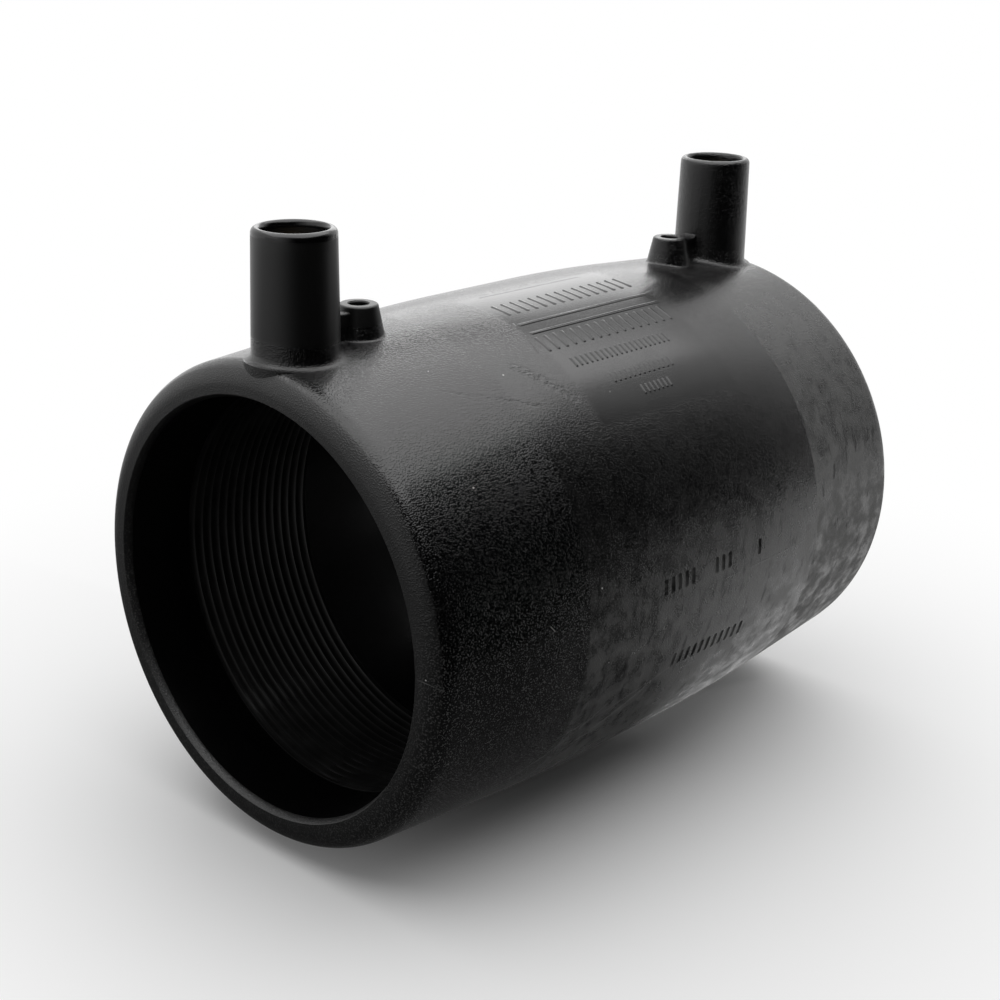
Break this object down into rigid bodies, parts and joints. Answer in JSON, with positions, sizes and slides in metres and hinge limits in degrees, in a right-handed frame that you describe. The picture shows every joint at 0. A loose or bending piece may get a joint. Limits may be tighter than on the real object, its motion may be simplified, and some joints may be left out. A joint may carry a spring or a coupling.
{
  "type": "electrofusion pipe coupler",
  "caption": "Plastic sleeve that welds two pipes end to end: a socket and an upright shrouded contact at each end, with a heating coil inside.",
  "frame": {"origin": "on the axis of the two sockets, halfway between the ends", "axes": "+X along the pipes towards the far socket, +Z the way the terminals point"},
  "size_m": [0.114, 0.0786, 0.0947],
  "materials": {
    "body": "black polyethylene, moulded, grained at the ends",
    "coil_wire": "wire in a black polyethylene coat, turns fused side by side",
    "contact_brass": "turned brass, plain",
    "indicator": "black polyethylene, plain"
  },
  "bodies": {
    "root": {"coupler_body": "body", "heating_coil": "coil_wire", "terminal_pin_near": "contact_brass", "terminal_pin_far": "contact_brass", "indicator_pin_near": "indicator", "indicator_pin_far": "indicator"}
  },
  "joints": []
}
